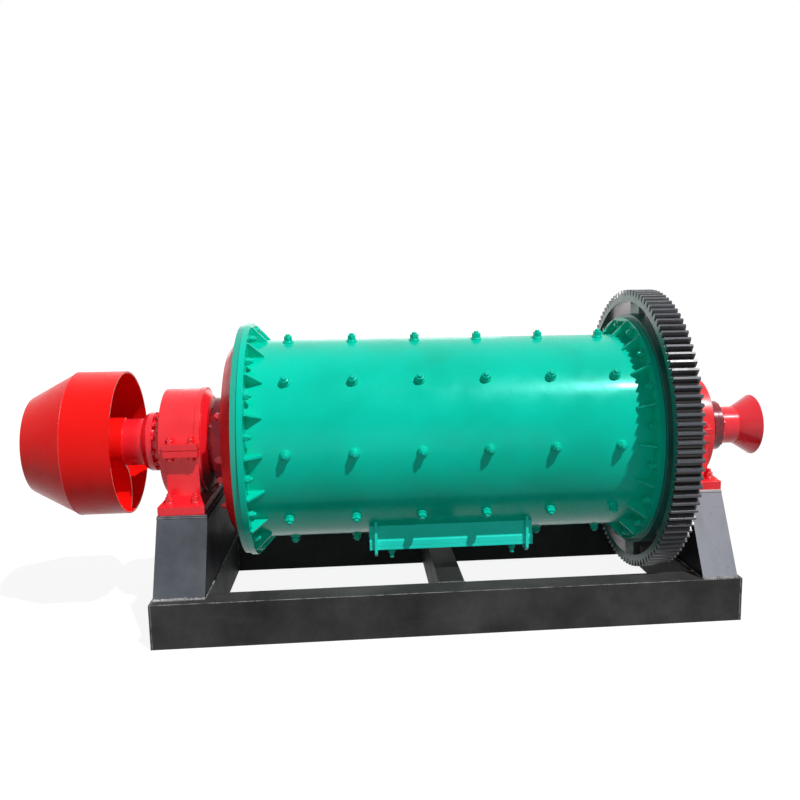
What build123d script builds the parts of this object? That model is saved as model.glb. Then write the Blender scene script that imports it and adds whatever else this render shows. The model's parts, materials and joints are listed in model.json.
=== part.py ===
from build123d import *
import os
from math import pi, sqrt

# Overflow ball mill on a welded frame: drum feeder, two split bearings, flanged shell, girth
# gear and outlet trumpet. Millimetres. The mill's axis runs along X, feed end at -X and
# outlet at +X, +Z is up. The origin is in the underside of the middle cross beam.

# Shell
axis_height = 790.0
shell_radius = 460.0
shell_wall = 14.0
shell_length = 1800.0
shell_centre = 11.0
shell_flange_rise = 80.0
shell_flange_thickness = 26.0

# Liner inside the shell, with a sloped lifter bar under each row of liner bolts
lifter_count = 9
liner_thickness = 36.0
liner_seat = 0.3
liner_end_gap = 4.0
lifter_height = 26.0
lifter_width = 70.0
lifter_slope = 60.0
lifter_root = 2.0
lifter_start = 180.0

# Gussets behind the shell flanges
gusset_count = 18
gusset_length = 68.0
gusset_thickness = 10.0
gusset_tip = 8.0

# Heads: flange, short cone, flat end wall and hub
head_flange_rise = 72.0
head_flange_thickness = 27.0
head_cone_rise = 38.0
head_face_drop = 47.0
head_cone_depth = 56.0
head_wall = 34.0
head_recess_drop = 24.0
head_hub_radius = 198.0
feed_hub_length = 76.0
discharge_hub_length = 20.0
hub_gap = 18.0

# Trunnions
journal_radius = 150.0
trunnion_bore = 84.0
tail_radius = 113.0
feed_tail_reach = 170.0
outlet_tail_reach = 174.0
tail_flange_thickness = 24.0
feed_flange_radius = 137.0
feed_flange_small_radius = 124.0
outlet_flange_radius = 121.0

# Split bearings
bearing_width = 180.0
bearing_radius = 243.0
bearing_rim_rise = 5.0
bearing_rim_width = 24.0
feed_bearing_height = 273.0
discharge_bearing_height = 243.0
bearing_split_gap = 2.0
bearing_lug_width = 150.0
bearing_lug_reach = 40.0
bearing_lug_height = 29.0
leg_width = 142.0
leg_depth = 476.0
leg_shift = 10.0
foot_width = 204.0
foot_depth = 672.0
foot_shift = 14.0
foot_thickness = 36.0
foot_flare = 30.0
foot_ledge = 8.0
foot_corner = 10.0
journal_clearance = 0.08
running_clearance = 6.0
inner_cover_depth = 24.0
inner_cover_edge = 238.0
inner_cover_nose = 206.0
cover_relief = 8.0
outer_cover_radius = 190.0
outer_cover_thickness = 14.0
shoulder_inset = 8.0

# Pedestals and seat plates
seat_plate_thickness = 10.0
pedestal_plate = 12.0
pedestal_top_depth = 690.0
feed_pedestal_foot_depth = 990.0
discharge_pedestal_foot_depth = 1066.0
feed_pedestal_width = 216.0
discharge_pedestal_width = 159.0
feed_pedestal_shift = 19.0
discharge_pedestal_shift = -3.5

# Frame of box beams
frame_width = 1084.0
beam_height = 194.0
beam_width = 116.0
beam_wall = 10.0
end_cap_thickness = 8.0
feed_margin = 8.0
discharge_margin = 17.5
middle_beam_width = 114.0
feed_beam_width = 228.0
discharge_beam_width = 190.0

# Girth gear
gear_teeth = 108
gear_face_width = 118.0
gear_rim_depth = 25.0
gear_hub_rise = 98.0
gear_hub_inset = 10.0
gear_hub_thickness = 30.0
gear_barrel_wall = 15.0
gear_arm_count = 8
gear_arm_length = 61.5
gear_arm_width = 118.0
gear_arm_thickness = 34.0
tooth_overlap = 2.0

# Drum feeder
neck_radius = 108.0
neck_wall = 10.0
neck_flange_thickness = 22.0
neck_exposed = 103.0
neck_window_length = 130.0
neck_window_height = 120.0
drum_radius = 330.0
drum_wall = 8.0
drum_length = 208.0
cone_length = 199.0
cone_end_radius = 222.0
mouth_radius = 150.0
mouth_plate = 10.0
partition_plate = 8.0
partition_holes = 3
partition_hole_radius = 70.0
scroll_plate = 8.0
scroll_clearance = 0.3
scroll_inset = 10.0
scroll_start = 90.0
scroll_wrap = 148.0
scroll_foot = 266.0

# Outlet trumpet
outlet_neck_radius = 91.0
outlet_wall = 8.0
outlet_flange_thickness = 20.0
outlet_neck_length = 115.0
outlet_cone_length = 90.0
outlet_rim_radius = 147.0

# Manhole under the shell: frame, cover plate and two clamp bars
manhole_shift = 7.5
manhole_length = 747.0
manhole_half_width = 290.0
manhole_shoulder = 20.0
manhole_shoulder_top = 59.0
manhole_shoulder_foot = 21.0
manhole_skirt_drop = 4.0
manhole_wall = 12.0
manhole_cover_plate = 16.0
manhole_opening_length = 560.0
manhole_opening_width = 360.0
clamp_inset = 29.0
clamp_thickness = 13.0
clamp_depth = 27.0
clamp_side = 16.0
clamp_corner = 14.0

FULL_TURN = 360.0
CROSS_SECTION = Plane(origin=(0, 0, axis_height), x_dir=(0, 1, 0), z_dir=(1, 0, 0))
PROFILE = Plane(origin=(0, 0, axis_height), x_dir=(1, 0, 0), z_dir=(0, -1, 0))
MILL_AXIS = Axis((0, 0, axis_height), (1, 0, 0))

# Places along the mill's axis, worked out from the shell towards both ends
feed_seam = shell_centre - shell_length / 2
discharge_seam = shell_centre + shell_length / 2
gear_seam = discharge_seam + gear_hub_thickness
head_depth = head_flange_thickness + head_cone_depth
bearing_reach = hub_gap + inner_cover_depth + bearing_width / 2
feed_bearing_x = feed_seam - head_depth - feed_hub_length - bearing_reach
discharge_bearing_x = gear_seam + head_depth + discharge_hub_length + bearing_reach
feed_tail_x = feed_bearing_x - feed_tail_reach
outlet_tail_x = discharge_bearing_x + outlet_tail_reach
drum_right = feed_tail_x - neck_exposed
drum_left = drum_right - drum_length
cone_left = drum_left - cone_length

feed_pedestal_x = feed_bearing_x + feed_pedestal_shift
discharge_pedestal_x = discharge_bearing_x - discharge_pedestal_shift
frame_left = feed_pedestal_x - feed_pedestal_width / 2 - feed_margin
frame_right = discharge_pedestal_x + discharge_pedestal_width / 2 + discharge_margin

os.makedirs("parts", exist_ok=True)


def save(part, name):
    part.label = name
    export_step(part, f"parts/{name}.step")


def section_at(x):
    return CROSS_SECTION.offset(x)


def revolved(name, points):
    """A piece turned about the mill's axis from (x, radius) points."""
    with BuildPart() as ring:
        with BuildSketch(PROFILE):
            with BuildLine():
                Polyline(*points, close=True)
            make_face()
        revolve(axis=MILL_AXIS)
    save(ring.part, name)


# Welded frame
def box_beam(name, centre, size, along):
    """A rectangular tube, open at its two ends."""
    with BuildPart() as beam:
        inner = [s - 2 * beam_wall for s in size]
        inner[along] = size[along]
        with Locations(centre):
            Box(*size)
            Box(*inner, mode=Mode.SUBTRACT)
    save(beam.part, name)


beam_y = (frame_width - beam_width) / 2
beam_z = beam_height / 2
frame_centre = (frame_left + frame_right) / 2
tube_length = frame_right - frame_left - 2 * end_cap_thickness
clear_width = frame_width - 2 * beam_width
box_beam("beam_front", (frame_centre, -beam_y, beam_z), [tube_length, beam_width, beam_height], 0)
box_beam("beam_back", (frame_centre, beam_y, beam_z), [tube_length, beam_width, beam_height], 0)

cross_beams = (
    ("cross_beam_feed", frame_left + feed_beam_width / 2, feed_beam_width),
    ("cross_beam_middle", 0, middle_beam_width),
    ("cross_beam_discharge", frame_right - discharge_beam_width / 2, discharge_beam_width),
)
for name, x, width in cross_beams:
    box_beam(name, (x, 0, beam_z), [width, clear_width, beam_height], 1)

with BuildPart() as end_caps:
    for cap_x in (frame_left + end_cap_thickness / 2, frame_right - end_cap_thickness / 2):
        with Locations((cap_x, -beam_y, beam_z), (cap_x, beam_y, beam_z)):
            Box(end_cap_thickness, beam_width, beam_height)
save(end_caps.part, "beam_end_caps")


# Pedestals: plate boxes whose front and back lean in towards the bearing
def pedestal(name, x, width, foot_depth, seat):
    top = seat - seat_plate_thickness
    with BuildPart() as body:
        with BuildSketch(Plane.YZ.offset(x - width / 2)):
            with BuildLine():
                Polyline(
                    (-foot_depth / 2, beam_height),
                    (foot_depth / 2, beam_height),
                    (pedestal_top_depth / 2, top),
                    (-pedestal_top_depth / 2, top),
                    close=True,
                )
            make_face()
        extrude(amount=width)
        offset(amount=-pedestal_plate, openings=body.faces().filter_by(Axis.Z))
    save(body.part, f"pedestal_{name}")
    with BuildPart() as plate:
        with Locations((x, 0, seat - seat_plate_thickness / 2)):
            Box(width, pedestal_top_depth, seat_plate_thickness)
    save(plate.part, f"seat_plate_{name}")


# Split bearing housings: a footed base and a round cap that meet at the mill's axis.
# side is +1 where the outside of the mill lies at +X.
def housing_turns(x, side):
    """Start, radius, length and mode of the housing's barrel, its rim and its bore."""
    return (
        (x - bearing_width / 2, bearing_radius, bearing_width, Mode.ADD),
        (x - side * bearing_width / 2, bearing_radius + bearing_rim_rise, side * bearing_rim_width, Mode.ADD),
        (x - bearing_width, journal_radius + journal_clearance, 2 * bearing_width, Mode.SUBTRACT),
    )


def bearing_base(name, x, side, seat):
    split_z = axis_height - bearing_split_gap / 2
    foot_top = seat + foot_thickness
    foot_x = x - side * foot_shift
    leg_x = x - side * leg_shift
    with BuildPart() as base:
        with Locations((foot_x, 0, seat + foot_thickness / 2)):
            Box(foot_width, foot_depth, foot_thickness)
        fillet(base.edges().filter_by(Axis.Z), foot_corner)
        with BuildSketch(Plane(origin=(foot_x, 0, foot_top))):
            Rectangle(foot_width - foot_ledge, foot_depth - foot_ledge)
        with BuildSketch(Plane(origin=(leg_x, 0, foot_top + foot_flare))):
            Rectangle(leg_width, leg_depth)
        loft()
        with BuildSketch(Plane(origin=(leg_x, 0, seat))):
            Rectangle(leg_width, leg_depth)
        extrude(amount=split_z - seat)
        with Locations((leg_x, 0, split_z)):
            Box(
                bearing_lug_width,
                2 * (bearing_radius + bearing_lug_reach),
                bearing_lug_height,
                align=(Align.CENTER, Align.CENTER, Align.MAX),
            )
        for start, radius, length, mode in housing_turns(x, side):
            with BuildSketch(section_at(start)):
                Circle(radius)
            extrude(amount=length, mode=mode)
        with BuildSketch(section_at(x - side * bearing_width / 2)):
            Circle(inner_cover_edge + cover_relief)
        extrude(amount=-side * foot_width, mode=Mode.SUBTRACT)
        split(bisect_by=Plane.XY.offset(split_z), keep=Keep.BOTTOM)
        split(bisect_by=Plane.XY.offset(seat), keep=Keep.TOP)
    save(base.part, f"bearing_base_{name}")


def bearing_cap(name, x, side):
    split_z = axis_height + bearing_split_gap / 2
    with BuildPart() as cap:
        with Locations((x - side * leg_shift, 0, split_z)):
            Box(
                bearing_lug_width,
                2 * (bearing_radius + bearing_lug_reach),
                bearing_lug_height,
                align=(Align.CENTER, Align.CENTER, Align.MIN),
            )
        for start, radius, length, mode in housing_turns(x, side):
            with BuildSketch(section_at(start)):
                Circle(radius)
            extrude(amount=length, mode=mode)
        split(bisect_by=Plane.XY.offset(split_z), keep=Keep.TOP)
    save(cap.part, f"bearing_cap_{name}")


def bearing_covers(name, x, side):
    inner_x = x - side * bearing_width / 2
    nose_x = inner_x - side * inner_cover_depth
    outer_x = x + side * bearing_width / 2
    lid_x = outer_x + side * outer_cover_thickness
    inner_end, outer_end = ("right", "left") if side < 0 else ("left", "right")
    revolved(f"bearing_cover_{name}_{inner_end}", [
        (inner_x, journal_radius + running_clearance),
        (inner_x, inner_cover_edge),
        (nose_x, inner_cover_nose),
        (nose_x, journal_radius + running_clearance),
    ])
    revolved(f"bearing_cover_{name}_{outer_end}", [
        (outer_x, tail_radius + running_clearance),
        (outer_x, outer_cover_radius),
        (lid_x, outer_cover_radius),
        (lid_x, tail_radius + running_clearance),
    ])


pedestal(
    "feed", feed_pedestal_x, feed_pedestal_width, feed_pedestal_foot_depth,
    axis_height - feed_bearing_height,
)
pedestal(
    "discharge", discharge_pedestal_x, discharge_pedestal_width, discharge_pedestal_foot_depth,
    axis_height - discharge_bearing_height,
)
bearings = (
    ("feed", feed_bearing_x, -1, axis_height - feed_bearing_height),
    ("discharge", discharge_bearing_x, 1, axis_height - discharge_bearing_height),
)
for name, x, side, seat in bearings:
    bearing_base(name, x, side, seat)
    bearing_cap(name, x, side)
    bearing_covers(name, x, side)

# Shell and liner, both open over the manhole
manhole_x = shell_centre + manhole_shift
shell_bottom = axis_height - shell_radius

with BuildPart() as shell:
    with BuildSketch(section_at(feed_seam)):
        Circle(shell_radius)
        Circle(shell_radius - shell_wall, mode=Mode.SUBTRACT)
    extrude(amount=shell_length)
    with Locations((manhole_x, 0, shell_bottom)):
        Box(manhole_opening_length, manhole_opening_width, shell_radius, mode=Mode.SUBTRACT)
save(shell.part, "shell")

with BuildPart() as liner:
    liner_outside = shell_radius - shell_wall - liner_seat
    liner_inside = liner_outside - liner_thickness
    with BuildSketch(section_at(feed_seam + liner_end_gap)):
        Circle(liner_outside)
        Circle(liner_inside, mode=Mode.SUBTRACT)
        lifter_middle = liner_inside - (lifter_height - lifter_root) / 2
        with PolarLocations(lifter_middle, lifter_count, start_angle=lifter_start):
            Trapezoid(lifter_width, lifter_height + lifter_root, lifter_slope, rotation=90)
    extrude(amount=shell_length - 2 * liner_end_gap)
    with Locations((manhole_x, 0, shell_bottom)):
        Box(manhole_opening_length, manhole_opening_width, shell_radius, mode=Mode.SUBTRACT)
save(liner.part, "shell_liner")

# Shell flanges and their gussets
shell_flange_radius = shell_radius + shell_flange_rise


def shell_flange(name, start):
    with BuildPart() as flange:
        with BuildSketch(section_at(start)):
            Circle(shell_flange_radius)
            Circle(shell_radius, mode=Mode.SUBTRACT)
        extrude(amount=shell_flange_thickness)
    save(flange.part, f"shell_flange_{name}")


def gussets(name, face_x, side):
    with BuildPart() as ribs:
        with BuildSketch(PROFILE) as outline:
            with BuildLine():
                Polyline(
                    (face_x, shell_radius),
                    (face_x + side * gusset_length, shell_radius),
                    (face_x + side * gusset_length, shell_radius + gusset_tip),
                    (face_x + side * gusset_tip, shell_flange_radius - gusset_tip),
                    (face_x, shell_flange_radius - gusset_tip),
                    close=True,
                )
            make_face()
        rib = extrude(outline.sketch, amount=gusset_thickness / 2, both=True, mode=Mode.PRIVATE)
        for k in range(gusset_count):
            add(rib.rotate(MILL_AXIS, (k + 0.5) * FULL_TURN / gusset_count))
    save(ribs.part, f"gussets_{name}")


shell_flange("feed", feed_seam)
shell_flange("discharge", discharge_seam - shell_flange_thickness)
gussets("feed", feed_seam + shell_flange_thickness, 1)
gussets("discharge", discharge_seam - shell_flange_thickness, -1)


# Heads and trunnions
def head(name, seam, side, hub_length):
    flange_x = seam + side * head_flange_thickness
    face_x = seam + side * head_depth
    hub_x = face_x + side * hub_length
    inner_x = face_x - side * head_wall
    recess_radius = shell_radius - head_recess_drop
    revolved(f"head_{name}", [
        (seam, recess_radius),
        (seam, shell_radius + head_flange_rise),
        (flange_x, shell_radius + head_flange_rise),
        (flange_x, shell_radius + head_cone_rise),
        (face_x, shell_radius - head_face_drop),
        (face_x, head_hub_radius),
        (hub_x, head_hub_radius),
        (hub_x, journal_radius),
        (inner_x, journal_radius),
        (inner_x, recess_radius),
    ])


def trunnion(name, seam, side, bearing_x, tail_x, flange_radius):
    inner_x = seam + side * (head_depth - head_wall)
    shoulder_x = bearing_x + side * (bearing_width / 2 - shoulder_inset)
    flange_x = tail_x - side * tail_flange_thickness
    revolved(f"trunnion_{name}", [
        (inner_x, trunnion_bore),
        (inner_x, journal_radius),
        (shoulder_x, journal_radius),
        (shoulder_x, tail_radius),
        (flange_x, tail_radius),
        (flange_x, flange_radius),
        (tail_x, flange_radius),
        (tail_x, trunnion_bore),
    ])


head("feed", feed_seam, -1, feed_hub_length)
head("discharge", gear_seam, 1, discharge_hub_length)
trunnion("feed", feed_seam, -1, feed_bearing_x, feed_tail_x, feed_flange_radius)
trunnion("discharge", gear_seam, 1, discharge_bearing_x, outlet_tail_x, outlet_flange_radius)

# Girth gear, built outwards from the shell: each tooth flank is two straight stretches that
# meet at the pitch circle
barrel_radius = shell_radius + gear_hub_rise
rim_bore = barrel_radius + gear_arm_length
root_radius = rim_bore + gear_rim_depth
gear_module = root_radius / (gear_teeth / 2 - 1.25)
pitch_radius = gear_module * gear_teeth / 2
tip_radius = pitch_radius + gear_module
tip_half = 0.42 * gear_module
pitch_half = gear_module * pi / 4
root_half = 1.2 * gear_module
with BuildSketch() as tooth:
    with BuildLine():
        Polyline(
            (root_radius - tooth_overlap, -root_half),
            (pitch_radius, -pitch_half),
            (tip_radius, -tip_half),
            (tip_radius, tip_half),
            (pitch_radius, pitch_half),
            (root_radius - tooth_overlap, root_half),
            close=True,
        )
    make_face()

with BuildPart() as gear_rim:
    with BuildSketch(section_at(discharge_seam)):
        Circle(root_radius)
        with PolarLocations(0, gear_teeth):
            add(tooth.sketch)
        Circle(rim_bore, mode=Mode.SUBTRACT)
    extrude(amount=gear_face_width)
save(gear_rim.part, "gear_rim")

# The gear's web: a flat ring between shell and head, a short barrel and arms out to the rim
with BuildPart() as gear_web:
    barrel_bore = barrel_radius - gear_barrel_wall
    arm_x = discharge_seam + (gear_face_width - gear_arm_thickness) / 2
    with BuildSketch(section_at(discharge_seam)):
        Circle(barrel_radius)
        Circle(shell_radius + gear_hub_inset, mode=Mode.SUBTRACT)
    extrude(amount=gear_hub_thickness)
    with BuildSketch(section_at(gear_seam)):
        Circle(barrel_radius)
        Circle(barrel_bore, mode=Mode.SUBTRACT)
    extrude(amount=arm_x + gear_arm_thickness - gear_seam)
    with BuildSketch(section_at(arm_x)):
        with PolarLocations((barrel_bore + rim_bore) / 2, gear_arm_count):
            Rectangle(rim_bore - barrel_bore + gear_barrel_wall, gear_arm_width)
        Circle(rim_bore, mode=Mode.INTERSECT)
        Circle(barrel_bore, mode=Mode.SUBTRACT)
    extrude(amount=gear_arm_thickness)
save(gear_web.part, "gear_web")

# Drum feeder: drum, cone, a mouth ring inside the cone's small end, partition, neck and scroll
partition_right = drum_left + partition_plate
revolved("feeder_drum", [
    (drum_left, drum_radius - drum_wall),
    (drum_left, drum_radius),
    (drum_right, drum_radius),
    (drum_right, drum_radius - drum_wall),
])
revolved("feeder_cone", [
    (drum_left, drum_radius - drum_wall),
    (drum_left, drum_radius),
    (cone_left, cone_end_radius),
    (cone_left, cone_end_radius - drum_wall),
])
cone_slope = (drum_radius - cone_end_radius) / cone_length
mouth_edge = cone_end_radius - drum_wall
revolved("feeder_mouth_ring", [
    (cone_left, mouth_radius),
    (cone_left, mouth_edge),
    (cone_left + mouth_plate, mouth_edge + mouth_plate * cone_slope),
    (cone_left + mouth_plate, mouth_radius),
])

with BuildPart() as partition:
    with BuildSketch(section_at(drum_left)):
        Circle(drum_radius - drum_wall)
        with PolarLocations((drum_radius + neck_radius) / 2, partition_holes):
            Circle(partition_hole_radius, mode=Mode.SUBTRACT)
    extrude(amount=partition_plate)
save(partition.part, "feeder_partition")

# The neck has a window on the far side, where the scroll drops the ore into it
with BuildPart() as neck:
    with BuildSketch(PROFILE):
        with BuildLine():
            Polyline(
                (partition_right, neck_radius - neck_wall),
                (partition_right, neck_radius),
                (feed_tail_x - neck_flange_thickness, neck_radius),
                (feed_tail_x - neck_flange_thickness, feed_flange_small_radius),
                (feed_tail_x, feed_flange_radius),
                (feed_tail_x, neck_radius - neck_wall),
                close=True,
            )
        make_face()
    revolve(axis=MILL_AXIS)
    with Locations(((partition_right + drum_right) / 2, neck_radius, axis_height)):
        Box(neck_window_length, neck_radius, neck_window_height, mode=Mode.SUBTRACT)
save(neck.part, "feeder_neck")

# The scroll hugs the neck from the top round the near side, then reaches down to the drum
with BuildPart() as scroll:
    with BuildSketch(section_at(partition_right)):
        with BuildLine():
            hug_radius = neck_radius + scroll_clearance + scroll_plate / 2
            wrap = CenterArc((0, 0), hug_radius, scroll_start, scroll_wrap)
            foot = Vector(drum_radius - drum_wall / 2, 0).rotate(Axis.Z, scroll_foot)
            TangentArc(wrap @ 1, foot, tangent=wrap % 1)
        trace(line_width=scroll_plate)
        Circle(drum_radius - drum_wall, mode=Mode.INTERSECT)
    extrude(amount=drum_right - partition_right - scroll_inset)
save(scroll.part, "feeder_scroll")

# Outlet trumpet
outlet_cone_x = outlet_tail_x + outlet_neck_length
outlet_rim_x = outlet_cone_x + outlet_cone_length
revolved("outlet_trumpet", [
    (outlet_tail_x, outlet_neck_radius - outlet_wall),
    (outlet_tail_x, outlet_flange_radius),
    (outlet_tail_x + outlet_flange_thickness, outlet_flange_radius),
    (outlet_tail_x + outlet_flange_thickness, outlet_neck_radius),
    (outlet_cone_x, outlet_neck_radius),
    (outlet_rim_x, outlet_rim_radius),
    (outlet_rim_x, outlet_rim_radius - outlet_wall),
    (outlet_cone_x, outlet_neck_radius - outlet_wall),
])

# Manhole: a welded frame with sloped shoulders, a flat cover plate and two clamp bars
shoulder_top = shell_bottom + manhole_shoulder_top
shoulder_foot = shell_bottom + manhole_shoulder_foot
skirt_bottom = shell_bottom - manhole_skirt_drop
cover_bottom = skirt_bottom - manhole_cover_plate
manhole_left = manhole_x - manhole_length / 2
throat = manhole_half_width - manhole_shoulder

with BuildPart() as manhole_frame:
    with BuildSketch(Plane.YZ.offset(manhole_left)):
        with BuildLine():
            Polyline(
                (-throat, shoulder_top),
                (-manhole_half_width, shoulder_foot),
                (-manhole_half_width, skirt_bottom),
                (manhole_half_width, skirt_bottom),
                (manhole_half_width, shoulder_foot),
                (throat, shoulder_top),
                (throat, axis_height),
                (-throat, axis_height),
                close=True,
            )
        make_face()
    extrude(amount=manhole_length)
    with Locations((manhole_x, 0, skirt_bottom)):
        Box(
            manhole_length - 2 * manhole_wall,
            2 * (throat - manhole_wall),
            2 * shell_radius,
            mode=Mode.SUBTRACT,
        )
    with BuildSketch(section_at(manhole_left)):
        Circle(shell_radius)
    extrude(amount=manhole_length, mode=Mode.SUBTRACT)
save(manhole_frame.part, "manhole_frame")

with BuildPart() as manhole_cover:
    with Locations((manhole_x, 0, cover_bottom + manhole_cover_plate / 2)):
        Box(manhole_length, 2 * manhole_half_width, manhole_cover_plate)
save(manhole_cover.part, "manhole_cover")

with BuildPart() as clamps:
    clamp_half = manhole_half_width + clamp_side
    clamp_low = cover_bottom - clamp_depth
    clamp_high = axis_height - sqrt(shell_radius**2 - clamp_half**2)
    clamp_reach = manhole_length / 2 - clamp_inset
    for clamp_x in (manhole_x - clamp_reach, manhole_x + clamp_reach):
        with BuildSketch(Plane.YZ.offset(clamp_x - clamp_thickness / 2)):
            with Locations((0, clamp_low)):
                Rectangle(2 * clamp_half, clamp_high - clamp_low, align=(Align.CENTER, Align.MIN))
        extrude(amount=clamp_thickness)
    chamfer(clamps.edges().filter_by(Axis.X).group_by(Axis.Z)[0], length=clamp_corner)
    with BuildSketch(section_at(manhole_left)):
        Circle(shell_radius)
    extrude(amount=manhole_length, mode=Mode.SUBTRACT)
    with BuildSketch(Plane.YZ.offset(manhole_left)):
        with Locations((0, cover_bottom)):
            Rectangle(2 * manhole_half_width, shell_radius, align=(Align.CENTER, Align.MIN))
    extrude(amount=manhole_length, mode=Mode.SUBTRACT)
save(clamps.part, "manhole_clamps")
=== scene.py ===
import json
import math

import bpy
import numpy as np
from mathutils import Matrix, Vector


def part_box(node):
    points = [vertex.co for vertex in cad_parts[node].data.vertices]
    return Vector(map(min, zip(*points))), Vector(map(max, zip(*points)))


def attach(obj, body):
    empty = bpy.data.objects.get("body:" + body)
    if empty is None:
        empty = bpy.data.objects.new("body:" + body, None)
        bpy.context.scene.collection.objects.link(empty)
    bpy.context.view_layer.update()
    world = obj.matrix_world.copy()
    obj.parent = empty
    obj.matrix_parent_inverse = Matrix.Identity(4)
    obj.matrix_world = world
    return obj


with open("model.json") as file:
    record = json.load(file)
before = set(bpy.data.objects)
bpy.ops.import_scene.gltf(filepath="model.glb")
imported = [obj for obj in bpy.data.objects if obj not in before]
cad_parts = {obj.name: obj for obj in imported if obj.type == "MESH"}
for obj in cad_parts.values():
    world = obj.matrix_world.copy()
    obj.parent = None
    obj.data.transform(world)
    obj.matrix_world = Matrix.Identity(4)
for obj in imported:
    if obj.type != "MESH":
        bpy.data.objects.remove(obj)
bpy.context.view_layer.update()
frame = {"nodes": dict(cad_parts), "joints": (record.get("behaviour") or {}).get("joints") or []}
nodes = frame["nodes"]
rng = np.random.default_rng(7)

# Axes, and the mill's two ends: side is -1 towards the feeder and 1 towards the outlet
X, Y, Z = 0, 1, 2
ALONG_X, UP, DOWN = (1.0, 0.0, 0.0), (0.0, 0.0, 1.0), (0.0, 0.0, -1.0)
ENDS = (("feed", -1), ("discharge", 1))


# Places read from the solids, in metres
def span(node, axis):
    """A node's lowest and highest place along an axis, to a tenth of a millimetre."""
    low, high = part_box(node)
    return round(low[axis], 4), round(high[axis], 4)


def face(node, side):
    """The X of a node's face that looks towards one end of the mill."""
    low, high = span(node, X)
    return high if side > 0 else low


AXIS_Z = frame["joints"][0]["pos_m"][Z]
BEAM_TOP = span("beam_front", Z)[1]
FEED_JOINT = face("trunnion_feed", -1)
OUTLET_JOINT = face("trunnion_discharge", 1)

# Sizes of the solids, in metres
SHELL_R = 0.460
GUSSET_TIP_R = 0.532
GUSSET_LENGTH = 0.068
GUSSET_HALF = 0.005
GUSSETS = 18
HEAD_DEPTH = 0.083
HEAD_HUB_R = 0.200
TAIL_FLANGE, NECK_FLANGE, OUTLET_FLANGE = 0.024, 0.022, 0.020
GEAR_BORE_R, GEAR_ROOT_R, GEAR_LAND_R = 0.6215, 0.645, 0.670

# A finish on one face of a plate ends this deep below it
FACE_DEPTH = 0.0015

# Nuts: sides of their round forms, and the range of the random angle that turns them
ROUND_SIDES, STUD_SIDES = 24, 16
FULL_TURN = 6.28

# Weld beads: radii in metres, how uneven they are, and their ripples
FOOT_BEAD, FOOT_SIDE_BEAD = 0.0075, 0.0045
BEAM_TOP_BEAD, BEAM_CORNER_BEAD, SEAT_BEAD = 0.0035, 0.004, 0.003
FLANGE_BEAD, GUSSET_BEAD = 0.004, 0.003
DRUM_BEAD, CONE_BEAD, JOINT_BEAD = 0.0028, 0.0025, 0.004
BEAD_SIDES = 7
UNEVEN, VERY_UNEVEN = 0.16, 0.40
RIPPLE_DEPTH, RIPPLE_PITCH = 0.20, 0.007

# The Mix node's two colour inputs and its colour output
MIX_FIRST, MIX_SECOND, MIX_COLOUR = 6, 7, 2


# Materials
class Wiring:
    """Adds and links nodes in one node tree."""

    def __init__(self, tree):
        self.tree = tree

    def link(self, output, socket):
        """Link an output to a socket, in place of any link that the socket had."""
        self.tree.links.new(output, socket)

    def put(self, socket, value):
        """Set a socket to a number or a colour, or link another node's output to it."""
        if isinstance(value, (float, int)):
            socket.default_value = value
        elif isinstance(value, tuple):
            socket.default_value = (*value, 1.0)
        else:
            self.link(value, socket)

    def new(self, kind, inputs=None, **settings):
        """A new node with its settings, and its inputs given by name or by number."""
        node = self.tree.nodes.new(kind)
        for name, value in settings.items():
            setattr(node, name, value)
        for name, value in (inputs or {}).items():
            self.put(node.inputs[name], value)
        return node

    def math(self, operation, first, second=None):
        """A named operation on two numbers, or on one number alone."""
        inputs = {0: first} if second is None else {0: first, 1: second}
        return self.new("ShaderNodeMath", inputs, operation=operation).outputs[0]

    def times(self, first, second):
        """The product of two numbers, which for two masks is where both are 1."""
        return self.math("MULTIPLY", first, second)

    def direct_rays(self):
        """1 for rays from the camera, from a mirror or through glass."""
        rays = self.new("ShaderNodeLightPath").outputs
        seen = self.math("MAXIMUM", rays["Is Camera Ray"], rays["Is Glossy Ray"])
        return self.math("MAXIMUM", seen, rays["Is Transmission Ray"])

    def choose(self, mask, first, second):
        """The first shader where mask is 0, and the second where it is 1."""
        return self.new("ShaderNodeMixShader", {0: mask, 1: first, 2: second}).outputs[0]


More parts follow.
